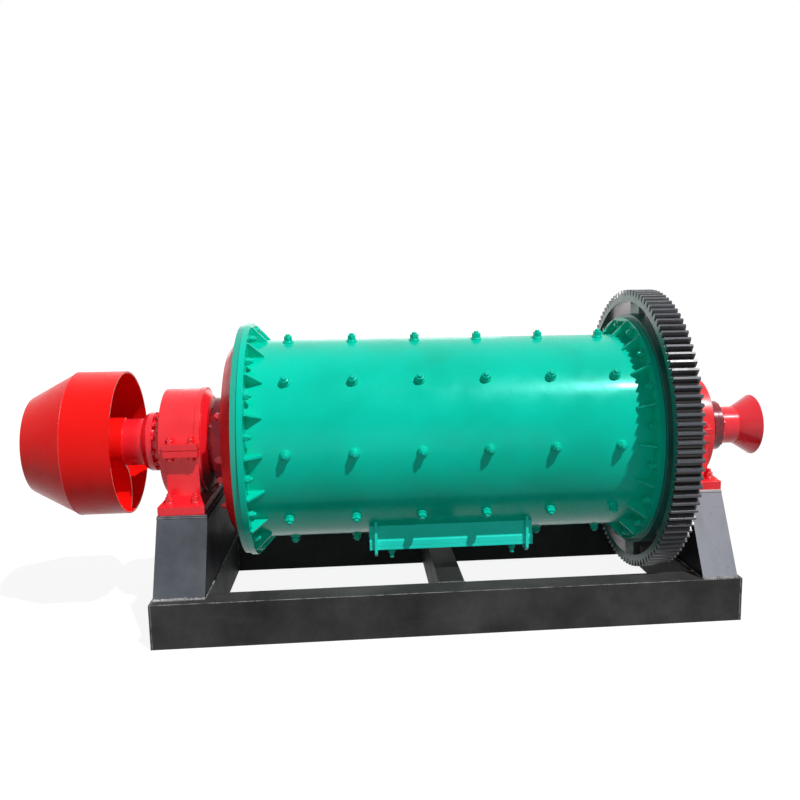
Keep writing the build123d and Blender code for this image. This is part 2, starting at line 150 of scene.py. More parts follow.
class Paint(Wiring):
    """A Principled material whose patterns lie in the object's own coordinates, in metres."""

    def __init__(self, name):
        self.material = bpy.data.materials.new(name)
        self.material.use_nodes = True
        super().__init__(self.material.node_tree)
        self.shader = self.tree.nodes["Principled BSDF"]
        self.place = self.new("ShaderNodeTexCoord").outputs["Object"]

    def dress(self, values):
        """Set or link the shader's own sockets by name."""
        for name, value in values.items():
            self.put(self.shader.inputs[name], value)

    def overlay(self, name, mask, value):
        """Lay a colour over what already feeds one of the shader's sockets, where mask is 1."""
        socket = self.shader.inputs[name]
        self.link(self.mix(mask, socket.links[0].from_socket, value), socket)

    def stretched(self, scale):
        """The place scaled by axis: a scale under 1 draws a pattern out along that axis."""
        mapping = self.new("ShaderNodeMapping", {"Vector": self.place})
        mapping.inputs["Scale"].default_value = scale
        return mapping.outputs["Vector"]

    def noise(self, scale, detail=4.0, rough=0.55, place=None):
        """Cloudy noise between 0 and 1: a larger scale makes smaller clouds."""
        inputs = {"Scale": scale, "Detail": detail, "Roughness": rough}
        inputs["Vector"] = place or self.place
        return self.new("ShaderNodeTexNoise", inputs).outputs["Fac"]

    def ramp(self, value, stops):
        """A ramp whose stops are pairs of a position and a colour or a number."""
        node = self.new("ShaderNodeValToRGB", {"Fac": value})
        elements = node.color_ramp.elements
        while len(elements) < len(stops):
            elements.new(0.5)
        for element, (position, colour) in zip(elements, stops):
            if isinstance(colour, float):
                colour = (colour, colour, colour)
            element.position = position
            element.color = (*colour, 1.0)
        return node.outputs["Color"]

    def mix(self, mask, first, second):
        """The first colour where mask is 0, and the second where it is 1."""
        inputs = {0: mask, MIX_FIRST: first, MIX_SECOND: second}
        return self.new("ShaderNodeMix", inputs, data_type="RGBA").outputs[MIX_COLOUR]

    def axis(self, name):
        """The place along one axis, named "X", "Y" or "Z"."""
        return self.new("ShaderNodeSeparateXYZ", {0: self.place}).outputs[name]

    def radius(self):
        """Distance from the mill's axis."""
        y, z = self.axis("Y"), self.math("SUBTRACT", self.axis("Z"), AXIS_Z)
        return self.math("SQRT", self.math("ADD", self.times(y, y), self.times(z, z)))

    def edges(self, radius):
        """A mask that is 1 on the solid's edges, and the normal that rounds them."""
        soft = self.new("ShaderNodeBevel", {"Radius": radius}, samples=4).outputs[0]
        flat = self.new("ShaderNodeNewGeometry").outputs["Normal"]
        turn = self.new("ShaderNodeVectorMath", {0: soft, 1: flat}, operation="DOT_PRODUCT")
        return self.ramp(turn.outputs["Value"], [(0.90, 1.0), (0.995, 0.0)]), soft

    def bump(self, height, strength, distance, normal):
        """The normal with the relief of a height pattern added to it."""
        inputs = {"Strength": strength, "Distance": distance, "Height": height, "Normal": normal}
        return self.new("ShaderNodeBump", inputs).outputs["Normal"]


def enamel(name, base, dark, light, rough, shine, tint, coat, corner=0.004):
    """Brushed-on gloss enamel: soft tone changes, specks, worn edges, orange peel and waves.

    rough is the roughness, shine the specular level, tint its colour, coat the clear coat's
    weight and corner how far the edges are rounded.
    """
    paint = Paint(name)
    tone = paint.ramp(paint.noise(2.2, 3.0), [(0.32, dark), (0.5, base), (0.70, light)])
    specks = paint.ramp(paint.noise(160.0, 2.0), [(0.70, 0.0), (0.76, 1.0)])
    tone = paint.mix(paint.times(specks, 0.25), tone, dark)
    mask, soft = paint.edges(corner)
    worn = paint.times(mask, paint.ramp(paint.noise(35.0, 5.0), [(0.45, 0.0), (0.62, 0.55)]))
    gloss = paint.ramp(paint.noise(9.0, 6.0, 0.6), [(0.3, rough * 0.75), (0.7, rough * 1.6)])
    peel = paint.bump(paint.noise(220.0, 2.0), 0.10, 0.0006, soft)
    waves = paint.bump(paint.noise(5.5, 3.0, 0.5), 0.22, 0.006, peel)
    paint.dress({
        "Base Color": paint.mix(worn, tone, light),
        "Roughness": gloss,
        "Coat Weight": coat,
        "Coat Roughness": 0.11,
        "Specular IOR Level": shine,
        "Specular Tint": tint,
        "Normal": waves,
    })
    return paint


def steel_paint(name, base, dark, light, edge, rough, streak, shine=0.12, far=None, inside=None):
    """Satin paint on hot-rolled plate: mill scale, rubbed streaks, dark spots, and light edges,
    partly bare metal and partly a painted highlight.

    edge is the colour of the worn bare edges, light enough to also paint in a highlight along them,
    and streak the stretch of the rubbed streaks. far is a lighter colour towards the outlet's end,
    painted light for that pedestal's brighter lighting. inside gives two places along X and the
    colour between them, painted shade on the faces that look at the mill.
    """
    paint = Paint(name)
    clouds = paint.noise(3.5, 6.0, 0.62)
    tone = paint.ramp(clouds, [(0.30, dark), (0.50, base), (0.72, light)])
    if far is not None:
        # painted light: the half towards the outlet's end is lightened, as that pedestal is lit more
        painted_light_far_half = paint.math("GREATER_THAN", paint.axis("X"), 0.0)
        tone = paint.mix(paint.times(painted_light_far_half, 0.7), tone, far)
    lines = paint.noise(6.0, 5.0, 0.6, paint.stretched(streak))
    tone = paint.mix(paint.ramp(lines, [(0.50, 0.0), (0.75, 0.45)]), tone, light)
    spots = paint.ramp(paint.noise(70.0, 3.0), [(0.62, 0.0), (0.72, 0.6)])
    tone = paint.mix(paint.times(spots, 0.5), tone, dark)
    # the edges are lightened: partly wear down to bare metal, partly a painted highlight along them
    mask, soft = paint.edges(0.005)
    worn = paint.times(mask, paint.ramp(paint.noise(28.0, 5.0), [(0.36, 0.15), (0.60, 0.85)]))
    tone = paint.mix(worn, tone, edge)
    # painted shade: between the two places the inside colour is laid, near black on the pedestals'
    # faces that look at the mill
    if inside is not None:
        low, high, colour = inside
        right_of = paint.math("GREATER_THAN", paint.axis("X"), low)
        left_of = paint.math("LESS_THAN", paint.axis("X"), high)
        tone = paint.mix(paint.times(right_of, left_of), tone, colour)
    scale = paint.bump(paint.noise(120.0, 4.0, 0.6), 0.22, 0.0012, soft)
    dents = paint.bump(paint.noise(7.0, 4.0, 0.5), 0.25, 0.004, scale)
    paint.dress({
        "Base Color": tone,
        "Roughness": paint.ramp(clouds, [(0.3, rough * 0.8), (0.7, rough * 1.25)]),
        "Specular IOR Level": shine,
        "Normal": dents,
    })
    return paint


def gear_paint():
    """Oiled machined steel: fine cutter lines along the teeth, and painted shade darkening the
    roots.
    """
    dark, light, cut = (0.040, 0.040, 0.044), (0.085, 0.085, 0.092), (0.16, 0.16, 0.17)
    painted_shade, rubbed, bare = (0.016, 0.015, 0.015), (0.064, 0.069, 0.088), (0.30, 0.28, 0.29)
    overspray, bright = (0.012, 0.14, 0.115), (0.75, 0.78, 0.78)
    paint = Paint("gear_steel_oiled")
    radius = paint.radius()
    tone = paint.ramp(paint.noise(14.0, 5.0), [(0.3, dark), (0.7, light)])
    lines = paint.noise(180.0, 3.0, 0.5, paint.stretched((0.04, 1.0, 1.0)))
    tone = paint.mix(paint.ramp(lines, [(0.45, 0.0), (0.7, 0.5)]), tone, cut)
    # painted shade: near black at the roots and below them, fading out 15 mm up the teeth
    root = paint.ramp(radius, [(GEAR_ROOT_R, 1.0), (GEAR_ROOT_R + 0.015, 0.0)])
    tone = paint.mix(root, tone, painted_shade)
    land = paint.math("GREATER_THAN", radius, GEAR_LAND_R)
    tone = paint.mix(paint.times(land, 0.9), tone, rubbed)
    bore = paint.math("LESS_THAN", radius, GEAR_BORE_R)
    tone = paint.mix(bore, tone, bare)
    # the left rim face caught the shell's green when it was sprayed
    left = paint.math("LESS_THAN", paint.axis("X"), face("gear_rim", -1) + 0.0025)
    fading = paint.times(left, paint.ramp(radius, [(0.635, 0.92), (0.668, 0.35)]))
    patchy = paint.ramp(paint.noise(22.0, 5.0), [(0.25, 0.5), (0.6, 1.0)])
    tone = paint.mix(paint.times(fading, patchy), tone, overspray)
    # tooth ends at the left face are painted near white: bare burrs, lightened further as a painted
    # glint
    mask, soft = paint.edges(0.0015)
    teeth = paint.times(left, paint.math("GREATER_THAN", radius, GEAR_ROOT_R))
    uneven = paint.ramp(paint.noise(45.0, 3.0), [(0.35, 0.2), (0.6, 1.0)])
    tone = paint.mix(paint.times(paint.times(mask, teeth), uneven), tone, bright)
    paint.dress({
        "Base Color": tone,
        "Metallic": paint.times(bore, 0.85),
        "Specular IOR Level": 0.5,
        "Roughness": paint.ramp(paint.noise(30.0, 4.0), [(0.3, 0.27), (0.7, 0.36)]),
        "Normal": paint.bump(lines, 0.15, 0.0006, soft),
    })
    return paint


def web_paint():
    """The gear's web: dark casting with green overspray on the shell's side."""
    dark, light, overspray = (0.02, 0.03, 0.03), (0.07, 0.075, 0.075), (0.003, 0.13, 0.105)
    arm_thickness = 0.034
    paint = Paint("gear_web_cast")
    tone = paint.ramp(paint.noise(12.0, 5.0), [(0.3, dark), (0.7, light)])
    arm_face = face("gear_web", 1) - arm_thickness
    left = paint.math("LESS_THAN", paint.axis("X"), arm_face + FACE_DEPTH)
    _, soft = paint.edges(0.004)
    paint.dress({
        "Base Color": paint.mix(paint.times(left, 0.9), tone, overspray),
        "Roughness": 0.42,
        "Coat Weight": 0.15,
        "Coat Roughness": 0.2,
        "Normal": paint.bump(paint.noise(60.0, 4.0), 0.35, 0.002, soft),
    })
    return paint


def head_paint():
    """The heads' red, with painted shade darkening the hub and the flange's rim sprayed in the
    shell's green.
    """
    rim_green, hub_painted_shade = (0.01, 0.44, 0.32), (0.40, 0.040, 0.080)
    paint = enamel(
        "head_enamel", base=(0.95, 0.016, 0.020), dark=(0.76, 0.010, 0.013),
        light=(0.98, 0.032, 0.034), rough=0.28, shine=0.30, tint=(1.0, 0.8, 0.8), coat=0.03,
    )
    radius = paint.radius()
    ragged = paint.times(paint.math("SUBTRACT", paint.noise(26.0, 4.0), 0.5), 0.022)
    rim = paint.ramp(paint.math("ADD", radius, ragged), [(0.506, 0.0), (0.518, 1.0)])
    patchy = paint.ramp(paint.noise(16.0, 4.0), [(0.35, 0.6), (0.6, 1.0)])
    # painted shade: the hub inside HEAD_HUB_R is darkened to a deep maroon
    hub = paint.times(paint.math("LESS_THAN", radius, HEAD_HUB_R), patchy)
    paint.overlay("Base Color", hub, hub_painted_shade)
    paint.overlay("Base Color", rim, rim_green)
    return paint


def outlet_paint():
    """The outlet's red, with painted shade darkening the bolted joint to a dark maroon."""
    painted_shade = (0.11, 0.006, 0.014)
    paint = enamel(
        "outlet_enamel", base=(0.95, 0.012, 0.030), dark=(0.80, 0.006, 0.018),
        light=(0.97, 0.024, 0.046), rough=0.20, shine=0.42, tint=(1.0, 0.9, 0.95), coat=0.25,
    )
    place, radius = paint.axis("X"), paint.radius()
    flanges = paint.math("GREATER_THAN", radius, 0.100)
    left_of = paint.math("LESS_THAN", place, OUTLET_JOINT + 0.0235)
    right_of = paint.math("GREATER_THAN", place, OUTLET_JOINT - 0.050)
    joint = paint.times(paint.times(flanges, left_of), right_of)
    patchy = paint.ramp(paint.noise(40.0, 4.0), [(0.30, 0.75), (0.70, 1.0)])
    # painted shade: the bolted joint's flanges are darkened
    paint.overlay("Base Color", paint.times(joint, patchy), painted_shade)
    return paint


HOUSING_RED = {
    "base": (0.92, 0.014, 0.026), "dark": (0.82, 0.008, 0.016), "light": (0.96, 0.028, 0.042),
    "rough": 0.25, "shine": 0.50, "tint": (1.0, 1.0, 1.0), "coat": 0.08,
}


def bearing_paint():
    """The bearings' red, with painted shade: near black and duller on the faces that look at the
    mill, below the journal.
    """
    painted_shade, dull = (0.035, 0.004, 0.007), (0.85, 0.85, 0.85)
    paint = enamel("housing_enamel", **HOUSING_RED)
    normal = paint.new("ShaderNodeNewGeometry").outputs["Normal"]
    facing = paint.new("ShaderNodeSeparateXYZ", {0: normal}).outputs["X"]
    outward_x = paint.times(facing, paint.math("SIGN", paint.axis("X")))
    mill_side = paint.math("LESS_THAN", outward_x, -0.6)
    low_down = paint.ramp(paint.axis("Z"), [(0.66, 0.94), (0.76, 0.0)])
    patchy = paint.ramp(paint.noise(18.0, 4.0), [(0.25, 0.8), (0.5, 1.0)])
    # painted shade: the faces that look at the mill are darkened to near black towards the bottom
    painted_shade_mask = paint.times(paint.times(mill_side, low_down), patchy)
    paint.overlay("Base Color", painted_shade_mask, painted_shade)
    paint.overlay("Roughness", painted_shade_mask, dull)
    return paint


GREEN = enamel(
    "green_enamel", base=(0.0, 0.60, 0.42), dark=(0.0, 0.52, 0.35), light=(0.0, 0.66, 0.47),
    rough=0.21, shine=0.22, tint=(0.28, 1.0, 1.0), coat=0.02,
)
# painted light: the hatch gets a lighter copy of the shell's green, so it looks lit where the shell
# shades it
HATCH_PAINTED_LIGHT = enamel(
    "hatch_enamel_painted_light", base=(0.02, 0.84, 0.68), dark=(0.01, 0.76, 0.60), light=(0.04, 0.90, 0.76),
    rough=0.21, shine=0.22, tint=(0.30, 1.0, 1.0), coat=0.02,
)
RED = enamel("bearing_enamel", **HOUSING_RED)
DRUM_RED = enamel(
    "drum_enamel", base=(0.97, 0.008, 0.006), dark=(0.88, 0.005, 0.004),
    light=(0.99, 0.014, 0.012), rough=0.24, shine=0.22, tint=(1.0, 0.45, 0.45), coat=0.04,
    corner=0.0015,
)
FRAME_GREY = steel_paint(
    "frame_paint_dark", base=(0.048, 0.048, 0.047), dark=(0.028, 0.028, 0.027),
    light=(0.080, 0.080, 0.078), edge=(0.58, 0.57, 0.56), rough=0.45, streak=(0.35, 1.0, 1.0),
    shine=0.04,
)
POST_GREY = steel_paint(
    "pedestal_paint_grey", base=(0.100, 0.110, 0.126), dark=(0.070, 0.078, 0.090),
    light=(0.150, 0.162, 0.180), edge=(0.42, 0.43, 0.44), rough=0.50, streak=(1.0, 1.0, 0.22),
    # far: a lighter tone on the outlet's pedestal, painted light
    shine=0.02, far=(0.40, 0.41, 0.46),
    # inside: painted shade, near black, on the pedestals' faces that look at the mill
    inside=(
        face("pedestal_feed", 1) - FACE_DEPTH,
        face("pedestal_discharge", -1) + FACE_DEPTH,
        (0.010, 0.011, 0.014),
    ),
)
# painted shade: the cross beams get a darker grey than the frame, for the shade under the mill
CROSS_PAINTED_SHADE = steel_paint(
    "cross_beam_painted_shade", base=(0.024, 0.026, 0.026), dark=(0.012, 0.013, 0.013),
    light=(0.038, 0.041, 0.041), edge=(0.20, 0.20, 0.20), rough=0.50, streak=(0.35, 1.0, 1.0),
    shine=0.04,
)
# the outlet's seat plate: bare steel, light enough that its edge also serves as a painted highlight
SEAT_BARE_AND_HIGHLIGHT = steel_paint(
    "seat_plate_bare_and_highlight", base=(0.46, 0.46, 0.47), dark=(0.30, 0.30, 0.31), light=(0.62, 0.62, 0.63),
    edge=(0.75, 0.75, 0.76), rough=0.35, streak=(1.0, 1.0, 1.0), shine=0.40,
)
WELD_GREY = steel_paint(
    "weld_bead_grey", base=(0.20, 0.20, 0.20), dark=(0.05, 0.05, 0.05), light=(0.62, 0.62, 0.62),
    edge=(0.7, 0.7, 0.7), rough=0.30, streak=(1.0, 1.0, 1.0), shine=0.50,
)
LINER = steel_paint(
    "liner_manganese", base=(0.10, 0.095, 0.09), dark=(0.06, 0.05, 0.045),
    light=(0.16, 0.15, 0.14), edge=(0.25, 0.24, 0.23), rough=0.5, streak=(0.3, 1.0, 1.0),
)
GEAR = gear_paint()
WEB = web_paint()
BEARING = bearing_paint()
HEAD = head_paint()
OUTLET = outlet_paint()


def give(names, paint):
    """Finish the named solids in a paint."""
    for name in names:
        solid = nodes[name]
        if not solid.material_slots:
            solid.data.materials.append(paint.material)
        for slot in solid.material_slots:
            slot.material = paint.material


def starting(*words):
    """The solids whose names start with any of the words."""
    return [name for name in nodes if name.startswith(words)]


# A solid named by itself comes after its group, because it replaces what the group was given
give(starting("beam_"), FRAME_GREY)
give(starting("cross_beam_"), CROSS_PAINTED_SHADE)
give(starting("pedestal_", "seat_plate_"), POST_GREY)
give(["seat_plate_discharge"], SEAT_BARE_AND_HIGHLIGHT)
give(starting("bearing_"), BEARING)
give(starting("trunnion_", "outlet_"), OUTLET)
give(starting("feeder_"), DRUM_RED)
give(["feeder_neck"], RED)
give(starting("head_"), HEAD)
give(starting("shell", "gussets_"), GREEN)
give(starting("manhole_"), HATCH_PAINTED_LIGHT)
give(["shell_liner"], LINER)
give(["gear_rim"], GEAR)
give(["gear_web"], WEB)


# Mesh tools
class Pile:
    """Many small shapes gathered into one mesh."""

    def __init__(self):
        self.verts, self.faces, self.count = [], [], 0

    def add(self, shape, matrix=None):
        """Add a shape, moved by a matrix where one is given."""
        verts, faces = shape
        if matrix is not None:
            matrix = np.array(matrix)
            verts = verts @ matrix[:3, :3].T + matrix[:3, 3]
        self.verts.append(verts)
        self.faces.extend([tuple(i + self.count for i in corners) for corners in faces])
        self.count += len(verts)

    def bolt(self, shape, place, direction, along=ALONG_X):
        """Add a nut or a bolt that stands along direction, turned by a random angle."""
        self.add(shape, aim(place, direction, rng.uniform(0, FULL_TURN), along))

    def build(self, name, paint, body, slot):
        """Make the mesh, smooth apart from its sharp edges, and let it ride on a body."""
        mesh = bpy.data.meshes.new(name)
        mesh.from_pydata(np.vstack(self.verts).tolist(), [], self.faces)
        mesh.update()
        mesh.polygons.foreach_set("use_smooth", [True] * len(mesh.polygons))
        mesh.set_sharp_from_angle(angle=math.radians(35.0))
        mesh.materials.append(paint.material)
        o = bpy.data.objects.new(name, mesh)
        bpy.context.scene.collection.objects.link(o)
        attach(o, body)


def circle(sides):
    """Angles round a circle."""
    return np.arange(sides) * 2 * np.pi / sides


def skin(rings, sides, closed=False):
    """Faces between rings of points, with a cap on each end unless the last meets the first."""
    faces = []
    for here in range(rings if closed else rings - 1):
        there = (here + 1) % rings
        for i in range(sides):
            j = (i + 1) % sides
            faces.append((here * sides + i, here * sides + j, there * sides + j, there * sides + i))
    if not closed:
        faces.append(tuple(reversed(range(sides))))
        faces.append(tuple(range((rings - 1) * sides, rings * sides)))
    return faces


def turned(layers, sides=ROUND_SIDES):
    """A closed shape from rings along +Z: each layer is (radius, height), or arrays by angle."""
    angles = circle(sides)
    verts = []
    for radius, height in layers:
        radius = np.broadcast_to(radius, sides)
        height = np.broadcast_to(height, sides)
        verts.append(np.stack([radius * np.cos(angles), radius * np.sin(angles), height], 1))
    return np.vstack(verts), skin(len(layers), sides)


def hexagon(flats, low, high, both=False):
    """A hexagon head or nut with its 30 degree chamfer, on its top or on both faces."""
    chamfer_start, chamfer_slope = 0.96, math.tan(math.radians(30))
    from_flat = (circle(ROUND_SIDES) + np.pi / 6) % (np.pi / 3) - np.pi / 6
    corner = flats / 2 / np.cos(from_flat)
    inner = flats / 2 * chamfer_start
    drop = (corner - inner) * chamfer_slope
    bottom = [(inner, low), (corner, low + drop)] if both else [(corner, low)]
    return turned(bottom + [(corner, high - drop), (inner, high)])


def together(*shapes):
    """Several shapes joined into one."""
    verts, faces, count = [], [], 0
    for shape_verts, shape_faces in shapes:
        verts.append(shape_verts)
        faces += [tuple(i + count for i in corners) for corners in shape_faces]
        count += len(shape_verts)
    return np.vstack(verts), faces


def stud(radius, low, high):
    """The end of a threaded stud, with its chamfer."""
    chamfer = radius * 0.25
    return turned([(radius, low), (radius, high - chamfer), (radius - chamfer, high)], STUD_SIDES)


def washer(radius, low, thick):
    """A washer with a rounded upper edge."""
    top, edge = low + thick, thick * 0.3
    return turned([(radius, low), (radius, top - edge), (radius - edge, top)])


def nut_on_washer(flats, height, washer_r, stud_r, stud_out):
    """A nut on its washer, with stud_out of its stud standing past it."""
    washer_top = 0.003
    top = washer_top + height
    return together(
        washer(washer_r, 0.0, washer_top),
        hexagon(flats, washer_top, top, both=True),
        stud(stud_r, top, top + stud_out),
    )


def nut_on_boss(boss, flats, top, stud_r, stud_top):
    """A nut on a round boss, whose layers are pairs of a radius and a height."""
    seat = boss[-1][1]
    return together(turned(boss), hexagon(flats, seat, top, both=True), stud(stud_r, top, stud_top))


def m20_nut(stud_out):
    """An M20 nut on its washer."""
    return nut_on_washer(
        flats=0.030, height=0.016, washer_r=0.0185, stud_r=0.010, stud_out=stud_out,
    )


def aim(place, direction, spin=0.0, along=ALONG_X):
    """Matrix that stands a shape's +Z along direction at place."""
    z = Vector(direction).normalized()
    x = Vector(along) - z * Vector(along).dot(z)
    x = x.normalized() if x.length > 1e-6 else z.orthogonal().normalized()
    matrix = Matrix((x, z.cross(x), z)).transposed().to_4x4() @ Matrix.Rotation(spin, 4, "Z")
    matrix.translation = Vector(place)
    return matrix


def around(x, radius, degrees):
    """The point at a radius from the mill's axis: 0 degrees is +Y and 90 is up."""
    angle = math.radians(degrees)
    return Vector((x, radius * math.cos(angle), AXIS_Z + radius * math.sin(angle)))


def outward(degrees):
    """The direction away from the mill's axis."""
    angle = math.radians(degrees)
    return Vector((0.0, math.cos(angle), math.sin(angle)))


def bead(points, size, side=UP, closed=False, uneven=UNEVEN):
    """A hand-laid weld bead along dense points, rippled and a little uneven in its radius."""
    path = np.array([tuple(point) for point in points])
    count = len(path)
    if closed:
        along = np.roll(path, -1, 0) - np.roll(path, 1, 0)
    else:
        along = np.gradient(path, axis=0)
    along /= np.linalg.norm(along, axis=1)[:, None]
    side = np.broadcast_to(np.array(side), path.shape)
    across = side - (side * along).sum(1)[:, None] * along
    across /= np.linalg.norm(across, axis=1)[:, None]
    raised = np.cross(along, across)
    step = np.linalg.norm(path - np.roll(path, 1, 0), axis=1)
    step[0] = 0.0
    ripple = RIPPLE_DEPTH * np.sin(2 * np.pi * np.cumsum(step) / RIPPLE_PITCH)
    wobble = rng.normal(0.0, uneven, count)
    wobble = (wobble + np.roll(wobble, 1) + np.roll(wobble, 2)) / 3
    radius = size * (1.0 + ripple + wobble)
    angles = circle(BEAD_SIDES)
    rim_across = np.cos(angles)[None, :, None] * across[:, None, :]
    rim_raised = np.sin(angles)[None, :, None] * raised[:, None, :]
    verts = path[:, None, :] + radius[:, None, None] * (rim_across + rim_raised)
    return verts.reshape(-1, 3), skin(count, BEAD_SIDES, closed)


def line(start, end, step=0.0035):
    """Dense points on a straight run."""
    start, end = np.array(start, float), np.array(end, float)
    count = int(np.linalg.norm(end - start) / step)
    return start + (end - start) * np.linspace(0, 1, count)[:, None]


def ring(x, radius, step=0.004):
    """Dense points on a circle round the mill's axis."""
    count = int(2 * math.pi * radius / step)
    return [around(x, radius, 360.0 * k / count) for k in range(count)]


# Fasteners on the mill
def liner_bolts():
    """Nine rows of nuts on round bosses along the shell, less those inside the hatch."""
    rows, columns, first_row = 9, 6, 180.0
    pitch, centre = 0.289, 0.022
    hatch_from, hatch_to, hatch_left, hatch_right = 235.0, 305.0, -0.36, 0.40
    boss = [(0.0245, -0.002), (0.0245, 0.003), (0.0230, 0.007), (0.0190, 0.010)]
    nut = nut_on_boss(boss, flats=0.035, top=0.029, stud_r=0.0115, stud_top=0.038)
    pile = Pile()
    for row in range(rows):
        angle = first_row + row * 360.0 / rows
        in_hatch_row = hatch_from < angle % 360.0 < hatch_to
        for column in range(columns):
            x = centre + (column - (columns - 1) / 2) * pitch
            if in_hatch_row and hatch_left < x < hatch_right:
                continue
            pile.bolt(nut, around(x, SHELL_R, angle), outward(angle))
    pile.build("liner_bolts", GREEN, "mill", "green_paint")


def flange_nuts():
    """One nut between each two gussets, on the shell's side of each flange."""
    bolt_radius = 0.506
    nut = m20_nut(stud_out=0.012)
    pile = Pile()
    for k in range(GUSSETS):
        angle = (k + 0.5) * 360.0 / GUSSETS
        for end, side in ENDS:
            place = around(face("shell_flange_" + end, -side), bolt_radius, angle)
            pile.bolt(nut, place, (-side, 0, 0), outward(angle))
    pile.build("flange_nuts", GREEN, "mill", "green_paint")


def head_bolts():
    """Eight nuts on each head's end wall, and a ring of bolts at each trunnion's end flange."""
    nut_radius, nut_angles = 0.365, (4.6, 19.4, 44.0, 155.0, 184.6, 199.4, 224.0, 335.0)
    boss = [(0.019, -0.002), (0.019, 0.004), (0.0180, 0.007), (0.0160, 0.010)]
    nut = nut_on_boss(boss, flats=0.029, top=0.026, stud_r=0.0095, stud_top=0.034)
    pile = Pile()
    for angle in nut_angles:
        for end, side in ENDS:
            wall = face("head_" + end, -side) + side * HEAD_DEPTH
            pile.bolt(nut, around(wall, nut_radius, angle), (side, 0, 0), outward(angle))
    bolts, feed_radius, outlet_radius = 12, 0.1255, 0.1055
    bolt = together(hexagon(0.019, 0.0, 0.010), washer(0.0115, -0.0005, 0.002))
    for k in range(bolts):
        angle = (k + 0.5) * 360.0 / bolts
        feed_bolt = around(FEED_JOINT + TAIL_FLANGE, feed_radius, angle)
        pile.bolt(bolt, feed_bolt, ALONG_X, outward(angle))
        outlet_bolt = around(OUTLET_JOINT + OUTLET_FLANGE, outlet_radius, angle)
        pile.bolt(bolt, outlet_bolt, ALONG_X, outward(angle))
    pile.build("head_bolts", RED, "mill", "red_paint")


def hatch_bolts():
    """A hanging nut and stud at each of the hatch's four corners."""
    left, right, corner_y = -0.254, 0.300, 0.262
    nut = nut_on_washer(flats=0.030, height=0.018, washer_r=0.019, stud_r=0.010, stud_out=0.023)
    underside = span("manhole_cover", Z)[0]
    pile = Pile()
    for x in (left, right):
        for y in (-corner_y, corner_y):
            pile.bolt(nut, (x, y, underside), DOWN)
    pile.build("hatch_bolts", GREEN, "mill", "green_paint")


# Fasteners on the bearings
def bearing_bolts():
    """Bolts through the lugs of the split, nuts on the feet and screws round the outer cover."""
    lug_shift, lug_spread, lug_y, lug_half = 0.010, 0.046, 0.262, 0.030
    foot_shift, foot_spread, foot_y, foot_height = 0.014, 0.056, 0.292, 0.050
    screws, screw_radius, cover_thickness = 8, 0.170, 0.014
    lug_nut = m20_nut(stud_out=0.010)
    lug_head = together(washer(0.0185, 0.0, 0.003), hexagon(0.030, 0.003, 0.016))
    foot_nut = together(
        turned([(0.023, -0.03), (0.023, 0.0), (0.0215, 0.002)]),
        washer(0.0205, 0.002, 0.003),
        hexagon(0.034, 0.005, 0.024, both=True),
        stud(0.0118, 0.024, 0.038),
    )
    screw = together(washer(0.0105, 0.0, 0.002), hexagon(0.017, 0.002, 0.010))
    pile = Pile()
    for end, side in ENDS:
        middle = sum(span("bearing_cap_" + end, X)) / 2
        for y in (-lug_y, lug_y):
            for spread in (-lug_spread, lug_spread):
                x = middle - side * lug_shift + spread
                pile.bolt(lug_nut, (x, y, AXIS_Z + lug_half), UP)
                pile.bolt(lug_head, (x, y, AXIS_Z - lug_half), DOWN)
        foot_top = span("seat_plate_" + end, Z)[1] + foot_height
        for y in (-foot_y, foot_y):
            for spread in (-foot_spread, foot_spread):
                pile.bolt(foot_nut, (middle - side * foot_shift + spread, y, foot_top), UP)
        cover_face = face("bearing_cap_" + end, side) + side * cover_thickness
        for k in range(screws):
            angle = (k + 0.5) * 360.0 / screws
            place = around(cover_face, screw_radius, angle)
            pile.bolt(screw, place, (side, 0, 0), outward(angle))
    pile.build("bearing_bolts", RED, "base", "red_paint")


# Welds
def outline(node, z, ends, sides, end_size, side_size, uneven=UNEVEN):
    """Beads round a node's rectangle: its two ends go into one pile, its long sides into another."""
    (left, right), (near, far) = span(node, X), span(node, Y)
    for y in (near, far):
        ends.add(bead(line((left, y, z), (right, y, z)), end_size, uneven=uneven))
    for x in (left, right):
        sides.add(bead(line((x, near, z), (x, far, z)), side_size, uneven=uneven))


def frame_welds():
    """Bare beads at the ends of the pedestals' feet, painted ones along them and at the corners."""
    feet, corners = Pile(), Pile()
    for end, _ in ENDS:
        post, z = "pedestal_" + end, BEAM_TOP + 0.001
        outline(post, z, feet, corners, FOOT_BEAD, FOOT_SIDE_BEAD, uneven=VERY_UNEVEN)
    feet.build("foot_welds", WELD_GREY, "base", "frame_paint")
    for place in ("feed", "middle", "discharge"):
        left, right = span("cross_beam_" + place, X)
        for y in span("cross_beam_" + place, Y):
            corners.add(bead(line((left, y, BEAM_TOP), (right, y, BEAM_TOP)), BEAM_TOP_BEAD))
            for x in (left, right):
                upright = line((x, y, BEAM_CORNER_BEAD), (x, y, BEAM_TOP))
                corners.add(bead(upright, BEAM_CORNER_BEAD, ALONG_X))
    corners.build("frame_welds", FRAME_GREY, "base", "frame_paint")


def seat_welds():
    """Beads under the edges of the seat plates."""
    pile = Pile()
    for end, _ in ENDS:
        plate = "seat_plate_" + end
        outline(plate, span(plate, Z)[0], pile, pile, SEAT_BEAD, SEAT_BEAD)
    pile.build("seat_welds", POST_GREY, "base", "pedestal_paint")


